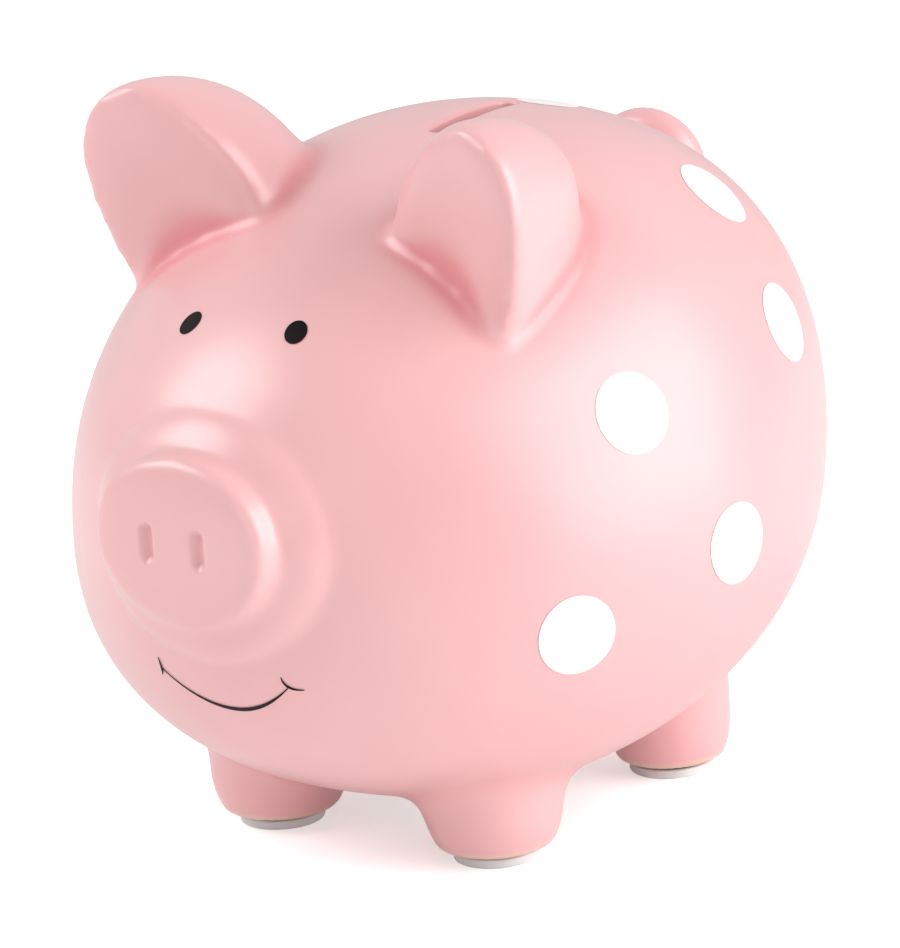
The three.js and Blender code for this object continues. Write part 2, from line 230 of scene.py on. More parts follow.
def snout():
    """An oval drum with a soft rim, a faintly domed face and a waist behind the rim."""
    side = 1 + SNOUT_RIM
    profile = [(0, SNOUT_ROOT), (side, SNOUT_ROOT), (side, SNOUT_FOOT)]
    profile += [(side - SNOUT_WAIST, SNOUT_WAIST_TO), (side - 0.7 * SNOUT_WAIST, SNOUT_WAIST_FROM)]
    for turn in np.radians(np.arange(90, -1, -10)):
        profile.append((1 + SNOUT_RIM * sin(turn), SNOUT_RIM * (1 - cos(turn))))
    profile += [(share, -SNOUT_DOME * (1 - share ** 2)) for share in (0.8, 0.6, 0.4, 0.2, 0)]
    piece = turned("snout", profile, 96)
    points = corners(piece)
    reach = np.hypot(points[:, 0], points[:, 1])
    turn = np.arctan2(points[:, 1], points[:, 0])
    share = np.minimum(reach, 1)
    spare = np.maximum(0, reach - 1)
    x = np.cos(turn) * (share * (SNOUT_WIDTH - SNOUT_RIM) + spare)
    z = SNOUT_LEVEL + np.sin(turn) * (share * (SNOUT_HEIGHT - SNOUT_RIM) + spare)
    move_corners(piece, np.column_stack([x, SNOUT_FRONT + points[:, 2], z]))
    face_outwards(piece)
    return piece


EAR_ROOT = np.array([34.7 * MM, EGG_BACK - 41.7 * MM, 134.9 * MM])  # middle of the front face's foot
EAR_OUT = np.array([16.2, -2.4, -11.6]) * MM  # from there to the outer corner
EAR_UP = np.array([15.8, -7, 29.5]) * MM  # and to the tip
EAR_BACK = np.array([1, 39, 2.5]) * MM  # and through to the back of the ear
EAR_FULLNESS = 2.4  # of its back
EAR_SIDE_POWER = 0.8  # under 1 makes the outline fuller than an oval
EAR_TIP_POWER = 1.2  # and over 1 more pointed
EAR_RIM_POWER = 8  # how suddenly the front turns over at its rim
EAR_RIM = 3.2 * MM
EAR_CUP = 1.0 * MM
EAR_FOOT = 0.52  # the front below its middle, as a share of the height above it


def ear(side):
    """A leaf with a cupped front, a round rim and a full back that runs down into the head."""
    deselect()
    bpy.ops.mesh.primitive_uv_sphere_add(segments=96, ring_count=64, radius=1)
    piece = name_new("ear")
    front = np.cross(EAR_OUT, EAR_UP)
    front /= np.linalg.norm(front)
    points = corners(piece)
    reach = np.minimum(1, np.hypot(points[:, 0], points[:, 1]))
    turn = np.arctan2(points[:, 1], points[:, 0])
    across = reach * np.sign(np.cos(turn)) * np.abs(np.cos(turn)) ** EAR_SIDE_POWER
    upward = reach * np.sign(np.sin(turn)) * np.abs(np.sin(turn)) ** EAR_TIP_POWER
    upward = np.where(upward < 0, EAR_FOOT * upward, upward)
    in_front = points[:, 2] > 0
    cup = EAR_CUP * (1 - reach ** 2) ** 2
    rim = EAR_RIM * np.sqrt(np.maximum(0, 1 - reach ** EAR_RIM_POWER))
    back = np.where(in_front, 0, np.sqrt(np.maximum(0, 1 - reach ** EAR_FULLNESS)))
    forward = np.where(in_front, rim - cup - EAR_RIM, 0)
    placed = EAR_ROOT + np.outer(across, EAR_OUT) + np.outer(upward, EAR_UP)
    placed = placed + np.outer(back, EAR_BACK) + np.outer(forward, front)
    move_corners(piece, placed * [side, 1, 1])
    face_outwards(piece)
    return piece


LEG_APART = 57.6 * MM
LEG_FRONT = EGG_BACK - 30.1 * MM
LEG_REAR = EGG_BACK + 34.8 * MM
LEG_FRONT_RADIUS = 15.2 * MM
LEG_REAR_RADIUS = 13.8 * MM
LEG_CORNER = 6.5 * MM
LEG_FILLET = 7 * MM
SOLE_LEVEL = 2.5 * MM
SOLE_RADIUS = 9.8 * MM
LEG_TOP = 30 * MM
LEG_BURY = 0.8 * MM  # how far the fillet's edge lies inside the belly
LEG_SIDE = 0.1 * MM  # least straight side between the corner and the fillet


def leg(side, at, radius):
    """A round stub with a soft lower corner, flared where it grows out of the belly."""
    x = side * LEG_APART / 2
    profile = [(0, 0), (SOLE_RADIUS, 0)]
    for turn in np.radians(np.arange(10, 91, 10)):
        profile.append((SOLE_RADIUS + (radius - SOLE_RADIUS) * sin(turn), LEG_CORNER * (1 - cos(turn))))
    fillet_start, cap = 1.0, 3.0  # heights from the first on are steps along the fillet, up to the cap
    profile += [(radius + LEG_FILLET * step ** 2, fillet_start + step) for step in np.linspace(0, 1, 9)]
    profile += [(radius, cap), (0, cap)]
    piece = turned("leg", profile, 64)
    placed = []
    for across, along, height in corners(piece):
        reach = max(np.hypot(across, along), 1e-9)
        out_x, out_y = across / reach, along / reach
        z = SOLE_LEVEL + height
        if height > cap - 0.5:
            z = SOLE_LEVEL + LEG_TOP
        elif height >= fillet_start:
            step = height - fillet_start
            wide = radius + LEG_FILLET
            edge = belly_z(x + out_x * radius, at + out_y * radius)
            top = belly_z(x + out_x * wide, at + out_y * wide) + LEG_BURY
            start = max(SOLE_LEVEL + LEG_CORNER + LEG_SIDE, edge - LEG_FILLET)
            z = (1 - step) ** 2 * start + 2 * step * (1 - step) * max(edge, start) + step ** 2 * top
        placed.append((x + across, at + along, z))
    move_corners(piece, placed)
    face_outwards(piece)
    return piece


leg_rows = ((LEG_FRONT, LEG_FRONT_RADIUS), (LEG_REAR, LEG_REAR_RADIUS))
leg_places = [(side, at, radius) for at, radius in leg_rows for side in (1, -1)]

CAST_GRAIN = 1.15 * MM  # spacing of the finished surface's mesh


def cast():
    """The whole outside in one skin, with its joints run together as a mould leaves them."""
    forms = [egg("bank_body", 0, 192, 128), muzzle(), snout(), ear(1), ear(-1)]
    forms += [leg(*place) for place in leg_places]
    deselect()
    for form in forms:
        form.select_set(True)
    bpy.context.view_layer.objects.active = forms[0]
    bpy.ops.object.join()
    piece = name_new("bank_body")
    finish_with(piece, "REMESH", mode="VOXEL", voxel_size=CAST_GRAIN, adaptivity=0)
    return piece


def smooth_step(share):
    share = np.clip(share, 0, 1)
    return share * share * (3 - 2 * share)


def relaxed(points, edges, times, ease):
    """The corners after each has moved towards the middle of its neighbours that many times."""
    count = len(points)
    ends = np.concatenate([edges[:, 0], edges[:, 1]])
    others = np.concatenate([edges[:, 1], edges[:, 0]])
    neighbours = np.bincount(ends, minlength=count)[:, None]
    for _ in range(times):
        sums = np.column_stack([np.bincount(ends, points[others, axis], count) for axis in range(3)])
        points = points + ease * (sums / neighbours - points)
    return points


def edges_of(piece):
    flat = np.empty(2 * len(piece.data.edges), int)
    piece.data.edges.foreach_get("vertices", flat)
    return flat.reshape(-1, 2)


def normals_of(piece):
    flat = np.empty(3 * len(piece.data.vertices))
    piece.data.vertices.foreach_get("normal", flat)
    return flat.reshape(-1, 3)


SETTLE = 0.5 * MM  # how far a form's foot sinks, so that it runs out on to the plain body
SETTLE_FADES_FROM = 3 * MM  # off the plain body
SETTLE_ENDS = 9 * MM
FILLET_ROUNDS = 40
SNOUT_REACH = 40 * MM  # the snout and muzzle lie within this of the snout's middle, up and down
SNOUT_OVAL = 1.19  # and within this many times as much to the sides
SNOUT_HOLD = 0.78  # share of the rounding that they are spared
SOLE_HOLD = 0.9
HOLLOW_ROUNDS = 160  # sets how broad a crease gets the pooled glaze and painted shade
HOLLOW_BLUR_ROUNDS = 12


def soften(piece):
    """Runs the creases out into fillets: widest at the ears and legs, tight at the snout's rim and soles."""
    points = corners(piece)
    from_snout = np.hypot(points[:, 0] / SNOUT_OVAL, points[:, 2] - SNOUT_LEVEL)
    at_front = points[:, 1] < EGG_BACK - 70 * MM
    snout_share = smooth_step((SNOUT_REACH - from_snout) / (4 * MM)) * at_front
    sole_share = smooth_step((SOLE_LEVEL + 3 * MM - points[:, 2]) / (2 * MM))
    ease = 0.5 * (1 - SNOUT_HOLD * snout_share) * (1 - SOLE_HOLD * sole_share)
    points = relaxed(points, edges_of(piece), FILLET_ROUNDS, ease[:, None])
    normals = egg_normal(points)
    step = 0.1 * MM
    slope = (egg_value(points + step * normals) - egg_value(points - step * normals)) / (2 * step)
    off = (egg_value(points) - 1) / slope
    fade = smooth_step((SETTLE_ENDS - np.abs(off)) / (SETTLE_ENDS - SETTLE_FADES_FROM))
    settling = SETTLE * off / (np.abs(off) + SETTLE) * fade
    move_corners(piece, points - normals * settling[:, None])


def mark_hollows(piece):
    """Keeps how far each corner lies down in a crease, in millimetres, for the glaze that pools there and the
    shade that is painted there.
    """
    points = corners(piece)
    spread = relaxed(points, edges_of(piece), HOLLOW_ROUNDS, 0.5)
    deep = np.einsum("ij,ij->i", spread - points, normals_of(piece)) / MM
    deep = relaxed(np.column_stack([deep, deep, deep]), edges_of(piece), HOLLOW_BLUR_ROUNDS, 0.5)[:, 0]
    layer = piece.data.attributes.new("hollow", "FLOAT", "POINT")
    layer.data.foreach_set("value", deep.astype(np.float32))


def cut(piece, tool):
    """Cuts the tool's shape out of the piece and clears the tool away."""
    finish_with(piece, "BOOLEAN", operation="DIFFERENCE", solver="EXACT", object=tool)
    bpy.data.objects.remove(tool)


SLOT_LENGTH = 29 * MM
SLOT_WIDTH = 5 * MM
SLOT_FROM_MIDDLE = 17 * MM
SLOT_LIP = 1.1 * MM  # radius of the glaze-rounded lip
SLOT_DEPTH = 12 * MM  # of the cutting tool, well through the wall


def slot_outline():
    """Points round the slot's edge as (x, y, outward x, outward y), close enough to follow the crown."""
    straight = (SLOT_LENGTH - SLOT_WIDTH) / 2
    points = []
    for end in (1, -1):
        for turn in np.linspace(0, pi, 17):
            out = (end * cos(turn), end * sin(turn))
            points.append((out[0] * SLOT_WIDTH / 2, end * straight + out[1] * SLOT_WIDTH / 2, *out))
        for share in np.linspace(0, 1, 18)[1:-1]:
            points.append((-end * SLOT_WIDTH / 2, end * straight * (1 - 2 * share), -end, 0))
    return points


def slot_tool():
    """The coin slot: a long hole with round ends, its lip rounded over along the curve of the crown."""
    outline = slot_outline()
    levels = [(3.4 * SLOT_LIP, 1.2 * SLOT_LIP)]
    for turn in np.radians((75, 60, 45, 30, 15, 0)):
        levels.append((SLOT_LIP * (1 - cos(turn)), -SLOT_LIP * (1 - sin(turn))))
    levels += [(0, -SLOT_DEPTH)]
    middle = EGG_BACK + SLOT_FROM_MIDDLE
    points = np.array([(x + out_x * wider, y + out_y * wider + middle, depth)
                       for wider, depth in levels for x, y, out_x, out_y in outline])
    below = points * [1, 1, 0] + [0, 0, EGG_LEVEL]
    surface = out_to_egg(below, np.tile([0.0, 0.0, 1.0], (len(below), 1)))
    surface[:, 2] += points[:, 2]
    count = len(outline)
    faces = [tuple(range(count)), tuple(range(len(points) - count, len(points)))[::-1]]
    for low in range(0, len(points) - count, count):
        for i in range(count):
            j = (i + 1) % count
            faces.append((low + i, low + j, low + count + j, low + count + i))
    mesh = bpy.data.meshes.new("slot_tool")
    mesh.from_pydata([tuple(point) for point in surface], [], faces)
    piece = bpy.data.objects.new("slot_tool", mesh)
    bpy.context.collection.objects.link(piece)
    face_outwards(piece)
    return piece


HOLE_RADIUS = 15 * MM
HOLE_DEPTH = 20 * MM  # of the cutting tool
HOLE_CHAMFER = 0.4 * MM
RECESS_RADIUS = 19.3 * MM
FLANGE_RADIUS = 18.5 * MM


def hole_tool():
    """The stopper's hole, with the flat recess that its flange lies in."""
    seat = belly_z(FLANGE_RADIUS, EGG_BACK)
    low = seat - 12 * MM
    profile = [(0, low), (RECESS_RADIUS, low), (RECESS_RADIUS, seat)]
    profile += [(HOLE_RADIUS + HOLE_CHAMFER, seat), (HOLE_RADIUS, seat + HOLE_CHAMFER)]
    profile += [(HOLE_RADIUS, seat + HOLE_DEPTH)]
    profile += [(0, seat + HOLE_DEPTH)]
    piece = turned("hole_tool", profile, 96)
    move_corners(piece, corners(piece) + [0, EGG_BACK, 0])
    return piece


NOSTRIL_APART = 13.4 * MM
NOSTRIL_LENGTH = 8 * MM
NOSTRIL_WIDTH = 2.6 * MM
NOSTRIL_DEPTH = 1.5 * MM


def press_nostrils(piece):
    """Two upright dimples pressed in the snout with a modelling tool."""
    pick(piece)
    work = bmesh.new()
    work.from_mesh(piece.data)
    chosen = []
    for face in work.faces:
        middle = face.calc_center_median()
        if middle.y < SNOUT_FRONT + 3 * MM and abs(middle.z - SNOUT_LEVEL) < 7 * MM:
            if abs(abs(middle.x) - NOSTRIL_APART / 2) < 4.2 * MM:
                chosen.append(face)
    edges = list({edge for face in chosen for edge in face.edges})
    bmesh.ops.subdivide_edges(work, edges=edges, cuts=3, use_grid_fill=True)
    work.to_mesh(piece.data)
    work.free()
    points = corners(piece)
    x = np.abs(points[:, 0]) - NOSTRIL_APART / 2
    z = points[:, 2] - SNOUT_LEVEL
    upright = np.clip(z, -(NOSTRIL_LENGTH - NOSTRIL_WIDTH) / 2, (NOSTRIL_LENGTH - NOSTRIL_WIDTH) / 2)
    away = np.hypot(x, z - upright) / (0.95 * NOSTRIL_WIDTH)
    deep = NOSTRIL_DEPTH * (1 - smooth_step(away)) ** 1.2
    on_face = points[:, 1] < SNOUT_FRONT + 4 * MM
    points[:, 1] += np.where(on_face, deep, 0)
    move_corners(piece, points)


# Shader helpers: each group is built once and placed in every finish that shows it.

def new_finish(name):
    material = bpy.data.materials.new(name)
    material.use_nodes = True
    nodes = material.node_tree.nodes
    return material, nodes, material.node_tree.links, nodes["Principled BSDF"]


def put(nodes, kind, **values):
    node = nodes.new(kind)
    for key, value in values.items():
        setattr(node, key, value)
    return node


def ceramic_skin_group():
    """Fired skin: a slow drift of tone and a faint orange peel, and both with pinholes as a height."""
    group = bpy.data.node_groups.new("Ceramic skin", "ShaderNodeTree")
    for name, value in (("Drift size", 18.0), ("Peel size", 420.0), ("Pinhole size", 900.0)):
        socket = group.interface.new_socket(name, in_out="INPUT", socket_type="NodeSocketFloat")
        socket.default_value = value
    for name in ("Drift", "Peel", "Height"):
        group.interface.new_socket(name, in_out="OUTPUT", socket_type="NodeSocketFloat")
    nodes, links = group.nodes, group.links
    inside = put(nodes, "NodeGroupInput")
    outside = put(nodes, "NodeGroupOutput")
    place = put(nodes, "ShaderNodeTexCoord").outputs["Object"]
    drift = put(nodes, "ShaderNodeTexNoise")
    drift.inputs["Detail"].default_value = 2
    peel = put(nodes, "ShaderNodeTexNoise")
    peel.inputs["Detail"].default_value = 3
    holes = put(nodes, "ShaderNodeTexVoronoi")
    for texture, size in ((drift, "Drift size"), (peel, "Peel size"), (holes, "Pinhole size")):
        links.new(place, texture.inputs["Vector"])
        links.new(inside.outputs[size], texture.inputs["Scale"])
    spots = put(nodes, "ShaderNodeMapRange")
    spots.inputs["From Min"].default_value = 0.05
    spots.inputs["From Max"].default_value = 0.11
    spots.inputs["To Min"].default_value = 1
    spots.inputs["To Max"].default_value = 0
    links.new(holes.outputs["Distance"], spots.inputs["Value"])
    rare = put(nodes, "ShaderNodeMath", operation="GREATER_THAN")
    rare.inputs[1].default_value = 0.86
    links.new(holes.outputs["Color"], rare.inputs[0])
    pin = put(nodes, "ShaderNodeMath", operation="MULTIPLY")
    links.new(spots.outputs["Result"], pin.inputs[0])
    links.new(rare.outputs["Value"], pin.inputs[1])
    sunk = put(nodes, "ShaderNodeMath", operation="MULTIPLY")
    sunk.inputs[1].default_value = 0.5
    links.new(pin.outputs["Value"], sunk.inputs[0])
    height = put(nodes, "ShaderNodeMath", operation="SUBTRACT")
    links.new(peel.outputs["Fac"], height.inputs[0])
    links.new(sunk.outputs["Value"], height.inputs[1])
    links.new(drift.outputs["Fac"], outside.inputs["Drift"])
    links.new(peel.outputs["Fac"], outside.inputs["Peel"])
    links.new(height.outputs["Value"], outside.inputs["Height"])
    return group


ceramic_skin = ceramic_skin_group()


def skin_node(nodes, **sizes):
    node = put(nodes, "ShaderNodeGroup", node_tree=ceramic_skin)
    for key, value in sizes.items():
        node.inputs[key.replace("_", " ")].default_value = value
    return node


def ramp(nodes, links, source, stops):
    """A colour ramp over a value, from (place, colour) stops."""
    node = put(nodes, "ShaderNodeValToRGB")
    elements = node.color_ramp.elements
    while len(elements) < len(stops):
        elements.new(0.5)
    for element, (place, colour) in zip(elements, stops):
        element.position = place
        element.color = (*colour, 1)
    links.new(source, node.inputs["Fac"])
    return node.outputs["Color"]


def blend_colours(nodes, links, factor, first, second):
    node = put(nodes, "ShaderNodeMix", data_type="RGBA")
    links.new(factor, node.inputs["Factor"])
    for socket, value in ((node.inputs[6], first), (node.inputs[7], second)):
        if isinstance(value, tuple):
            socket.default_value = (*value, 1)
        else:
            links.new(value, socket)
    return node.outputs[2]


def span(nodes, links, source, low, high, to_low=0.0, to_high=1.0):
    node = put(nodes, "ShaderNodeMapRange", interpolation_type="SMOOTHSTEP")
    for key, value in (("From Min", low), ("From Max", high), ("To Min", to_low), ("To Max", to_high)):
        node.inputs[key].default_value = value
    links.new(source, node.inputs["Value"])
    return node.outputs["Result"]


def bump(nodes, links, height, shader, strength, distance):
    node = put(nodes, "ShaderNodeBump")
    node.inputs["Strength"].default_value = strength
    node.inputs["Distance"].default_value = distance
    links.new(height, node.inputs["Height"])
    links.new(node.outputs["Normal"], shader.inputs["Normal"])


PINK = (0.80, 0.413, 0.423)
PINK_PALE = (0.84, 0.465, 0.472)
PINK_POOLED_AND_SHADED = (0.74, 0.21, 0.23)  # where glaze gathers in creases, with painted shade there too
BISQUE = (0.80, 0.56, 0.43)  # bare clay of the foot ring


def pink_glaze():
    material, nodes, links, shader = new_finish("pink_glaze")
    skin = skin_node(nodes)
    tone = ramp(nodes, links, skin.outputs["Drift"], [(0.3, PINK), (0.7, PINK_PALE)])
    hollow = put(nodes, "ShaderNodeAttribute", attribute_name="hollow")
    # Creases darken to a deep coral: partly glaze pooled there, partly painted shade.
    crease = span(nodes, links, hollow.outputs["Fac"], 0.1, 1.6, 0.0, 0.8)
    pooled_glaze_and_shade = blend_colours(nodes, links, crease, tone, PINK_POOLED_AND_SHADED)
    place = put(nodes, "ShaderNodeSeparateXYZ")
    links.new(put(nodes, "ShaderNodeTexCoord").outputs["Object"], place.inputs["Vector"])
    foot = span(nodes, links, place.outputs["Z"], 5.2 * MM, 3.4 * MM)
    colour = blend_colours(nodes, links, foot, pooled_glaze_and_shade, BISQUE)
    links.new(colour, shader.inputs["Base Color"])
    matt = put(nodes, "ShaderNodeMath", operation="MULTIPLY_ADD")
    matt.inputs[1].default_value = 0.08
    matt.inputs[2].default_value = 0.34
    links.new(skin.outputs["Peel"], matt.inputs[0])
    links.new(matt.outputs["Value"], shader.inputs["Roughness"])
    shader.inputs["Specular IOR Level"].default_value = 0.5
    shader.inputs["Coat Weight"].default_value = 0.8
    shader.inputs["Coat Roughness"].default_value = 0.32
    bump(nodes, links, skin.outputs["Height"], shader, 0.1, 0.05 * MM)
    return material


def wear(piece, material):
    piece.data.materials.clear()
    piece.data.materials.append(material)
    pick(piece)
    bpy.ops.object.shade_smooth_by_angle(angle=radians(66))


pink = pink_glaze()

bank = cast()
soften(bank)
press_nostrils(bank)
mark_hollows(bank)
cut(bank, hole_tool())
cut(bank, slot_tool())
cut(bank, egg("cavity", WALL, 96, 64))
wear(bank, pink)
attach(bank, "bank")
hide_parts("ceramic_body")


# ---------------------------------------------------------------- tail
# The tail is a curl of clay rolled by hand, luted to the rump with slip while both are
# leather hard, and glazed over, so a little fillet of slip runs round its root.

TAIL_RADIUS = 4.5 * MM
TAIL_LOOP = 9.4 * MM
TAIL_LEVEL = 121.5 * MM
TAIL_START = -110  # degrees round the loop
TAIL_TURN = 300
TAIL_TUCK = 4 * MM  # the loop starts this far inside the rump
TAIL_CLIMB = 8 * MM  # and works its way out by this
TAIL_ROOT = np.array([-3, -14, -12]) * MM  # from the middle of the loop, on the rump

rump = out_to_egg(np.array([[0, EGG_BACK, TAIL_LEVEL]]), np.array([[0.0, 1.0, 0.0]]))[0, 1]
tail_route = [tuple(TAIL_ROOT + [0, rump, TAIL_LEVEL])]
for share in np.linspace(0, 1, 10):
    turn = radians(TAIL_START - TAIL_TURN * share)
    out = rump + TAIL_CLIMB * share - TAIL_TUCK
    tail_route.append((TAIL_LOOP * cos(turn), out, TAIL_LEVEL + TAIL_LOOP * sin(turn)))

deselect()
tail_curve = bpy.data.curves.new("tail_curl_clay", "CURVE")
tail_curve.dimensions = "3D"
tail_curve.bevel_depth = TAIL_RADIUS
tail_curve.bevel_resolution = 8
tail_curve.resolution_u = 16
tail_curve.use_fill_caps = True
spline = tail_curve.splines.new("NURBS")
spline.points.add(len(tail_route) - 1)
for point, place in zip(spline.points, tail_route):
    point.co = (*place, 1)
spline.order_u = 4
spline.use_endpoint_u = True
clay = bpy.data.objects.new("tail_clay", tail_curve)
bpy.context.collection.objects.link(clay)
pick(clay)
bpy.ops.object.convert(target="MESH")
tail = name_new("tail_clay")
bpy.ops.mesh.primitive_uv_sphere_add(segments=32, ring_count=20, radius=TAIL_RADIUS, location=tail_route[-1])
tip = name_new("tail_tip")
settle(tip)
deselect()
tip.select_set(True)
tail.select_set(True)
bpy.context.view_layer.objects.active = tail
bpy.ops.object.join()
finish_with(tail, "REMESH", mode="VOXEL", voxel_size=0.5 * MM, adaptivity=0)
finish_with(tail, "SMOOTH", factor=0.5, iterations=8)
# The tail's creases get the same pooled glaze and painted shade.
mark_hollows(tail)
cut(tail, egg("rump_tool", 0.25 * MM, 192, 128))
tail.name = "tail"
tail.data.name = "tail"
wear(tail, pink)
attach(tail, "bank")
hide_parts("tail_curl")


# ---------------------------------------------------------------- white dots
# The dots are round ceramic transfers, printed on decal paper, slid wet on to the glaze
# and fired in. Each is a film that follows the body, with its edge melted down.

DOT_RADIUS = 8.8 * MM
CROWN_DOT_RADIUS = 6.8 * MM  # a smaller one, to clear the slot
FILM_LIFT = 0.04 * MM
FILM_THICKNESS = 0.12 * MM
BLACK_INK = (0.005, 0.003, 0.004)
BLACK_INK_THIN = (0.009, 0.005, 0.006)


def transfer_disc(name, half_width, half_height, rings):
    """A flat oval film, drawn round the origin, of rings that can follow a curved surface."""
    deselect()
    bpy.ops.mesh.primitive_circle_add(vertices=64, radius=1, fill_type="NGON")
    piece = name_new(name)
    bpy.ops.object.mode_set(mode="EDIT")
    bpy.ops.mesh.select_all(action="SELECT")
    bpy.ops.mesh.inset(thickness=0.04)
    for _ in range(rings):
        bpy.ops.mesh.inset(thickness=0.9 / rings)
    bpy.ops.mesh.poke()
    bpy.ops.object.mode_set(mode="OBJECT")
    move_corners(piece, corners(piece) * [half_width, half_height, 1])
    return piece


def lay_on_body(piece, at):
    """Lays a flat film on the body at a point of it, and gives it its thickness."""
    out = egg_normal(at[None])[0]
    level = np.array([-out[1], out[0], 0])
    level /= np.linalg.norm(level)
    upward = np.cross(out, level)
    flat = corners(piece)
    starts = at + np.outer(flat[:, 0], level) + np.outer(flat[:, 1], upward) - 12 * MM * out
    feet = out_to_egg(starts, np.tile(out, (len(starts), 1)))
    move_corners(piece, feet + egg_normal(feet) * (FILM_LIFT + FILM_THICKNESS))
    finish_with(piece, "SOLIDIFY", thickness=FILM_THICKNESS, offset=-1)
    face_outwards(piece)


def white_transfer():
    material, nodes, links, shader = new_finish("white_transfer")
    skin = skin_node(nodes)
    tone = ramp(nodes, links, skin.outputs["Drift"], [(0.3, (0.95, 0.93, 0.92)), (0.7, (0.98, 0.965, 0.955))])
    links.new(tone, shader.inputs["Base Color"])
    links.new(span(nodes, links, skin.outputs["Peel"], 0.2, 0.8, 0.34, 0.42), shader.inputs["Roughness"])
    shader.inputs["Coat Weight"].default_value = 0.2
    shader.inputs["Coat Roughness"].default_value = 0.3
    bump(nodes, links, skin.outputs["Height"], shader, 0.1, 0.05 * MM)
    return material


white = white_transfer()

# Degrees round the body from the crown, + towards the pig's left, and millimetres
# along it from the egg's middle, + towards the rump.
dots = {
    "dot_left_1": (65, -25),
    "dot_left_2": (99.7, -46),
    "dot_left_3": (91, -4.5),
    "dot_left_4": (62, 32),
    "dot_left_5": (38, 37),
    "dot_crown": (3, 38.5),
    "dot_right_1": (-63, -20),
    "dot_right_2": (-98, -38),
    "dot_right_3": (-90, 2),
    "dot_right_4": (-64, 36),
    "dot_right_5": (-34, 43),
    "dot_rump_1": (122, 56),
    "dot_rump_2": (-120, 58),
    "dot_rump_3": (74, 71),
    "dot_rump_4": (-71, 69),
}

for name, (around, along) in dots.items():
    turn = radians(around)
    ray = np.array([[sin(turn), 0, cos(turn)]])
    at = out_to_egg(egg_middle[None] + [[0, along * MM, 0]], ray)[0]
    radius = CROWN_DOT_RADIUS if name == "dot_crown" else DOT_RADIUS
    dot = transfer_disc("white_" + name, radius, radius, 9)
    lay_on_body(dot, at)
    wear(dot, white)
    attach(dot, "bank")
    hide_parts(name)


# ---------------------------------------------------------------- eyes and smile
# The face is a black transfer in three pieces: two oval eyes, and a drawn smile that is
# fullest past its middle and ends in a little tick at each cheek.

EYE_WIDTH = 2.45 * MM
EYE_HEIGHT = 3.05 * MM
eyes = {"eye_left": (12.3, 124.2), "eye_right": (-15.2, 123.1)}  # x and height on the face, in millimetres


def black_transfer():
    material, nodes, links, shader = new_finish("black_transfer")
    skin = skin_node(nodes)
    tone = ramp(nodes, links, skin.outputs["Drift"], [(0.3, BLACK_INK), (0.7, BLACK_INK_THIN)])
    links.new(tone, shader.inputs["Base Color"])
    links.new(span(nodes, links, skin.outputs["Peel"], 0.2, 0.8, 0.28, 0.36), shader.inputs["Roughness"])
    shader.inputs["Specular IOR Level"].default_value = 0.12
    bump(nodes, links, skin.outputs["Height"], shader, 0.08, 0.05 * MM)
    return material


black = black_transfer()

for name, (x, height) in eyes.items():
    start = np.array([[x * MM, EGG_BACK, height * MM]])
    at = out_to_egg(start, np.array([[0.0, -1.0, 0.0]]))[0]
    eye = transfer_disc("black_" + name, EYE_WIDTH, EYE_HEIGHT, 3)
    lay_on_body(eye, at)
    wear(eye, black)
    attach(eye, "bank")
    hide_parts(name)

SMILE_WIDTH = 16.8 * MM
SMILE_SAG = 7.6 * MM
SMILE_LEVEL = 52.4 * MM
SMILE_OFFSET = 1 * MM
SMILE_LINE = 0.8 * MM
SMILE_LEAN = 1.4  # over 1 moves the fullest place towards the pig's left
PEN_TIP = 0.22  # the line's width at its ends, as a share of the fullest


def pen_stroke(name, route, width, steps, lean=1.0):
    """A line on the face along route(share), thin at its ends, its fullest place moved on by the lean."""
    deselect()
    bpy.ops.mesh.primitive_grid_add(x_subdivisions=steps, y_subdivisions=2, size=1)
    piece = name_new(name)
    shares = corners(piece)[:, 0] + 0.5
    sides = corners(piece)[:, 1]
    middle = np.array([route(share) for share in shares])
    nudge = 0.01
    ahead = np.array([route(share + nudge) for share in shares])
    ahead = ahead - np.array([route(share - nudge) for share in shares])
    ahead /= np.linalg.norm(ahead, axis=1)[:, None]
    fullness = np.sin(pi * np.clip(shares, 0, 1) ** lean) ** 1.2
    reach = sides * width * (PEN_TIP + (1 - PEN_TIP) * fullness)
    x = middle[:, 0] - ahead[:, 1] * reach
    z = middle[:, 1] + ahead[:, 0] * reach
    starts = np.column_stack([x, np.full(len(x), EGG_BACK), z])
    feet = out_to_egg(starts, np.tile([0.0, -1.0, 0.0], (len(x), 1)))
    move_corners(piece, feet + egg_normal(feet) * (FILM_LIFT + FILM_THICKNESS))
    return piece


def bow(share):
    across = 2 * share - 1
    return SMILE_OFFSET + across * SMILE_WIDTH, SMILE_LEVEL - SMILE_SAG * (1 - across ** 2)


def tick(side, inset, flare, lift):
    """The crossing stroke at one corner, in millimetres: down across the line's end, then out and up."""
    def route(share):
        out = SMILE_WIDTH - (inset + 0.2 * share - flare * share ** 2) * MM
        return SMILE_OFFSET + side * out, SMILE_LEVEL + (2.4 - 6.7 * share + lift * share ** 2) * MM
    return route


strokes = [pen_stroke("smile_bow", bow, SMILE_LINE, 72, SMILE_LEAN)]
strokes += [pen_stroke("smile_tick", tick(side, inset, flare, lift), 0.65 * SMILE_LINE, 24)
            for side, inset, flare, lift in ((1, 1, 4.4, 3.8), (-1, 0.3, 1, 2.2))]
for stroke in strokes:
    finish_with(stroke, "SOLIDIFY", thickness=FILM_THICKNESS, offset=0)
    face_outwards(stroke)
deselect()
for stroke in strokes:
    stroke.select_set(True)
bpy.context.view_layer.objects.active = strokes[0]
bpy.ops.object.join()
smile = name_new("black_smile")
wear(smile, black)
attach(smile, "bank")
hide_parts("smile_line")


# ---------------------------------------------------------------- foot pads
# Under each foot is a stick-on bumper: a low disc of milky clear rubber with its edges
# rounded by the die, held by a thin film of darker adhesive.

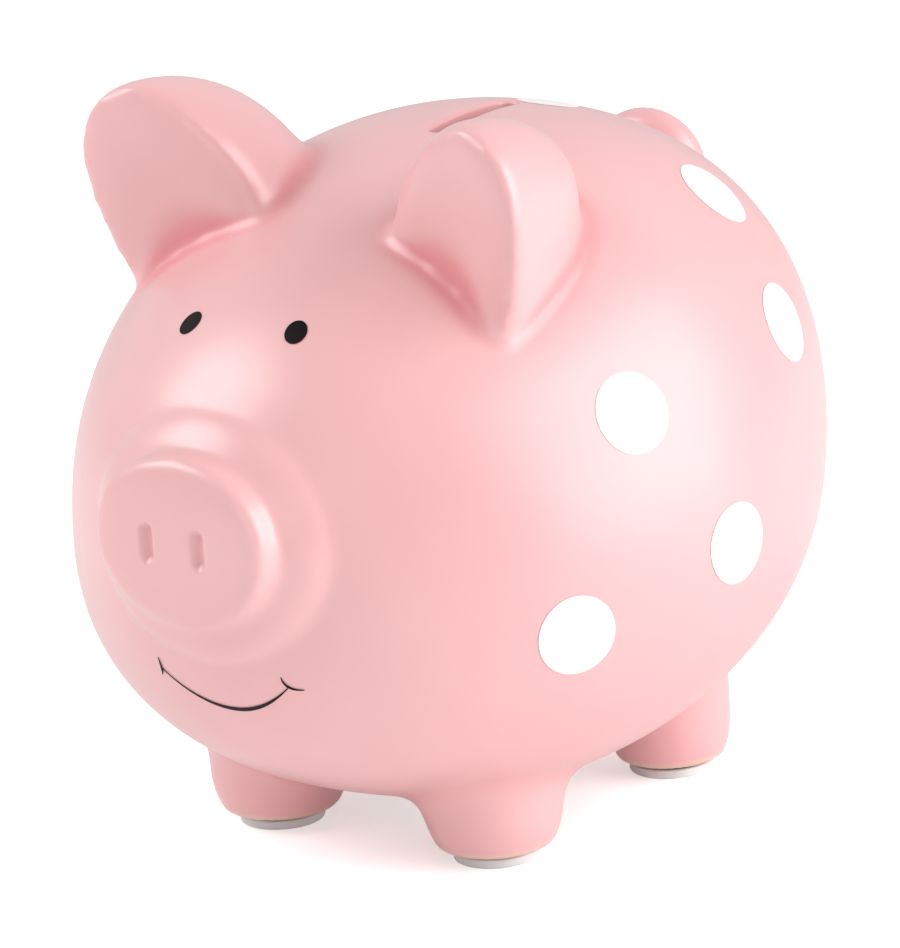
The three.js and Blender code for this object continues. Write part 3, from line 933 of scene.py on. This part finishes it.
PAD_RADIUS = 9.2 * MM
PAD_THICKNESS = 2 * MM
ADHESIVE_RADIUS = 8.6 * MM
ADHESIVE_THICKNESS = 0.36 * MM


def milky_rubber():
    material, nodes, links, shader = new_finish("milky_rubber")
    skin = skin_node(nodes, Drift_size=120.0, Peel_size=900.0)
    tone = ramp(nodes, links, skin.outputs["Drift"], [(0.3, (0.70, 0.71, 0.72)), (0.7, (0.82, 0.82, 0.83))])
    links.new(tone, shader.inputs["Base Color"])
    links.new(span(nodes, links, skin.outputs["Peel"], 0.2, 0.8, 0.3, 0.45), shader.inputs["Roughness"])
    bump(nodes, links, skin.outputs["Height"], shader, 0.2, 0.05 * MM)
    return material


def adhesive_film():
    material, nodes, links, shader = new_finish("adhesive_film")
    skin = skin_node(nodes, Drift_size=300.0)
    tone = ramp(nodes, links, skin.outputs["Drift"], [(0.3, (0.16, 0.09, 0.075)), (0.7, (0.27, 0.16, 0.13))])
    links.new(tone, shader.inputs["Base Color"])
    shader.inputs["Roughness"].default_value = 0.6
    bump(nodes, links, skin.outputs["Height"], shader, 0.2, 0.05 * MM)
    return material


rubber = milky_rubber()
film = adhesive_film()


def disc(name, radius, low, high, corner, place):
    """A low round disc with rounded edges."""
    deselect()
    bpy.ops.mesh.primitive_cylinder_add(
        vertices=64, radius=radius, depth=high - low, location=(*place, (low + high) / 2))
    piece = name_new(name)
    bpy.ops.object.mode_set(mode="EDIT")
    bpy.ops.mesh.select_all(action="DESELECT")
    bpy.ops.object.mode_set(mode="OBJECT")
    for polygon in piece.data.polygons:
        polygon.select = abs(polygon.normal.z) > 0.9
    bpy.ops.object.mode_set(mode="EDIT")
    bpy.ops.mesh.inset(thickness=corner * 1.5)
    bpy.ops.object.mode_set(mode="OBJECT")
    settle(piece)
    finish_with(piece, "BEVEL", width=corner, segments=4, limit_method="ANGLE", angle_limit=radians(40))
    return piece


foot_names = ("front_left", "front_right", "rear_left", "rear_right")
for foot, (side, at, _) in zip(foot_names, leg_places):
    place = (side * LEG_APART / 2, at)
    bumper = disc("bumper_" + foot, PAD_RADIUS, 0, PAD_THICKNESS, 0.45 * MM, place)
    wear(bumper, rubber)
    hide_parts("foot_pad_" + foot)
    sticker = disc("sticker_" + foot, ADHESIVE_RADIUS, PAD_THICKNESS + 0.05 * MM,
                   PAD_THICKNESS + 0.05 * MM + ADHESIVE_THICKNESS, 0.06 * MM, place)
    wear(sticker, film)
    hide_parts("pad_adhesive_" + foot)
    for piece in (bumper, sticker):
        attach(piece, "bank")


# ---------------------------------------------------------------- belly stopper
# The stopper is one moulding of soft translucent vinyl: a flange that lies in the
# belly's recess, a hollow plug with a lip, and a bar across its underside to pull it by.

PLUG_RADIUS = 14.7 * MM
FLANGE = 2 * MM
PLUG_LENGTH = 7.5 * MM
PLUG_CUP = 5 * MM
PLUG_SKIN = 2.4 * MM
PLUG_NECK = 0.5 * MM  # how much slimmer the plug is behind its lip
SEAT_GAP = 0.1 * MM
FLANGE_EDGE = 0.8 * MM
BAR_LENGTH = 15.2 * MM
BAR_THICKNESS = 3 * MM
BAR_HEIGHT = 4.1 * MM
BAR_MIDDLE = 1.6 * MM  # below the flange
BAR_EDGE = 0.9 * MM


def vinyl():
    material, nodes, links, shader = new_finish("stopper_vinyl")
    skin = skin_node(nodes, Drift_size=60.0, Peel_size=1200.0)
    tone = ramp(nodes, links, skin.outputs["Drift"], [(0.3, (0.62, 0.60, 0.56)), (0.7, (0.72, 0.70, 0.66))])
    links.new(tone, shader.inputs["Base Color"])
    links.new(span(nodes, links, skin.outputs["Peel"], 0.2, 0.8, 0.42, 0.56), shader.inputs["Roughness"])
    bump(nodes, links, skin.outputs["Height"], shader, 0.25, 0.04 * MM)
    return material


seat = belly_z(FLANGE_RADIUS, EGG_BACK) - SEAT_GAP
underside = seat - FLANGE
plug_top = seat + PLUG_LENGTH
cup = PLUG_RADIUS - PLUG_SKIN
lower_edge = [(FLANGE_RADIUS - FLANGE_EDGE * (1 - sin(turn)), underside + FLANGE_EDGE * (1 - cos(turn)))
              for turn in np.radians(np.arange(0, 91, 15))]
stopper_profile = [(0, underside)] + lower_edge + [
    (FLANGE_RADIUS, seat - 0.2 * MM),
    (FLANGE_RADIUS - 0.2 * MM, seat),
    (PLUG_RADIUS - PLUG_NECK, seat),
    (PLUG_RADIUS - PLUG_NECK, plug_top - 2.6 * MM),
    (PLUG_RADIUS, plug_top - 1.8 * MM),
    (PLUG_RADIUS - 0.3 * MM, plug_top - 0.5 * MM),
    (PLUG_RADIUS - 0.8 * MM, plug_top),
    (cup + 0.3 * MM, plug_top),
    (cup, plug_top - 0.3 * MM),
    (cup, plug_top - PLUG_CUP),
    (0, plug_top - PLUG_CUP),
]
stopper = turned("stopper", stopper_profile, 96)
move_corners(stopper, corners(stopper) + [0, EGG_BACK, 0])
deselect()
bpy.ops.mesh.primitive_cube_add(
    size=1, location=(0, EGG_BACK, underside - BAR_MIDDLE), scale=(BAR_LENGTH, BAR_THICKNESS, BAR_HEIGHT))
bar = name_new("pull_bar")
settle(bar)
finish_with(bar, "BEVEL", width=BAR_EDGE, segments=4)
finish_with(stopper, "BOOLEAN", operation="UNION", solver="EXACT", object=bar)
bpy.data.objects.remove(bar)
stopper.name = "stopper_vinyl"
wear(stopper, vinyl())
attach(stopper, "stopper")
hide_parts("belly_stopper")


# ---------------------------------------------------------------- studio
# A pale seamless table under three softboxes, a broad one on the pig's left, one high on
# its right and a weak one in front, in a white room that is brightest behind the pig.


TABLE_GLOW = 0.5  # it looks white,
TABLE_GLOW_ON_PIG = 0.06  # but hardly lights the belly
TABLE_RADIUS = 14


def floor_paint():
    material, nodes, links, shader = new_finish("table_paint")
    grain = put(nodes, "ShaderNodeTexNoise")
    grain.inputs["Scale"].default_value = 6
    links.new(put(nodes, "ShaderNodeTexCoord").outputs["Object"], grain.inputs["Vector"])
    tone = ramp(nodes, links, grain.outputs["Fac"], [(0.3, (0.90, 0.90, 0.90)), (0.7, (0.92, 0.92, 0.92))])
    links.new(tone, shader.inputs["Base Color"])
    links.new(tone, shader.inputs["Emission Color"])
    seen = put(nodes, "ShaderNodeLightPath").outputs["Is Camera Ray"]
    glow = span(nodes, links, seen, 0, 1, TABLE_GLOW_ON_PIG, TABLE_GLOW)
    links.new(glow, shader.inputs["Emission Strength"])
    shader.inputs["Roughness"].default_value = 0.9
    shader.inputs["Specular IOR Level"].default_value = 0.1
    return material


deselect()
bpy.ops.mesh.primitive_circle_add(vertices=96, radius=TABLE_RADIUS, fill_type="NGON")
table = name_new("table")
wear(table, floor_paint())

AIM = Vector((0, 0, 0.08))


def softbox(name, azimuth, elevation, distance, size, power):
    """A square lamp that faces the pig. Azimuth 0 is in front, 90 is on the pig's left."""
    turn, rise = radians(azimuth), radians(elevation)
    away = Vector((sin(turn) * cos(rise), -cos(turn) * cos(rise), sin(rise)))
    lamp = bpy.data.lights.new(name, "AREA")
    lamp.shape = "RECTANGLE"
    lamp.size, lamp.size_y = size
    lamp.energy = power
    holder = bpy.data.objects.new(name, lamp)
    holder.location = AIM + distance * away
    holder.rotation_euler = (-away).to_track_quat("-Z", "Y").to_euler()
    bpy.context.collection.objects.link(holder)


softbox("left_box", -50, 42, 1.0, (0.6, 0.6), 5.6)
softbox("right_box", 104, 20, 1.0, (0.95, 0.95), 11.0)
softbox("front_box", 20, 12, 1.4, (0.6, 0.6), 1.6)

room = bpy.data.worlds.new("white_room")
bpy.context.scene.world = room
room.use_nodes = True
air = room.node_tree.nodes["Background"]
air.inputs["Color"].default_value = (1, 1, 1, 1)
way = put(room.node_tree.nodes, "ShaderNodeTexCoord")
facing = put(room.node_tree.nodes, "ShaderNodeVectorMath", operation="DOT_PRODUCT")
facing.inputs[1].default_value = (-0.6, 0.78, 0.18)  # towards the sweep behind the pig
room.node_tree.links.new(way.outputs["Generated"], facing.inputs[0])
glow = span(room.node_tree.nodes, room.node_tree.links, facing.outputs["Value"], -0.2, 0.9, 0.34, 0.7)
room.node_tree.links.new(glow, air.inputs["Strength"])
bpy.context.scene.view_settings.view_transform = "Standard"
bpy.context.scene.view_settings.look = "None"

CAMERA_AZIMUTH = radians(37.601)
CAMERA_ELEVATION = radians(16.974)
CAMERA_ROLL = radians(-3.895)
CAMERA_DISTANCE = 2.2
CAMERA_AIM = 73.034 * MM
FOCAL_LENGTH = 10.76467405  # as a share of the long side of the picture

back = Vector((sin(CAMERA_AZIMUTH) * cos(CAMERA_ELEVATION),
               -cos(CAMERA_AZIMUTH) * cos(CAMERA_ELEVATION), sin(CAMERA_ELEVATION)))
level = Vector((cos(CAMERA_AZIMUTH), sin(CAMERA_AZIMUTH), 0))
above = back.cross(level)
right = cos(CAMERA_ROLL) * level + sin(CAMERA_ROLL) * above
upright = -sin(CAMERA_ROLL) * level + cos(CAMERA_ROLL) * above
eyepiece = bpy.data.cameras.new("camera")
eyepiece.sensor_width = 36
eyepiece.lens = FOCAL_LENGTH * eyepiece.sensor_width
eyepiece.clip_start = 0.1
eyepiece.clip_end = 100
camera = bpy.data.objects.new("camera", eyepiece)
place = Vector((0, EGG_BACK, CAMERA_AIM)) + CAMERA_DISTANCE * back
turn = Matrix((right, upright, back)).transposed()
camera.matrix_world = Matrix.Translation(place) @ turn.to_4x4()
bpy.context.collection.objects.link(camera)
bpy.context.scene.camera = camera
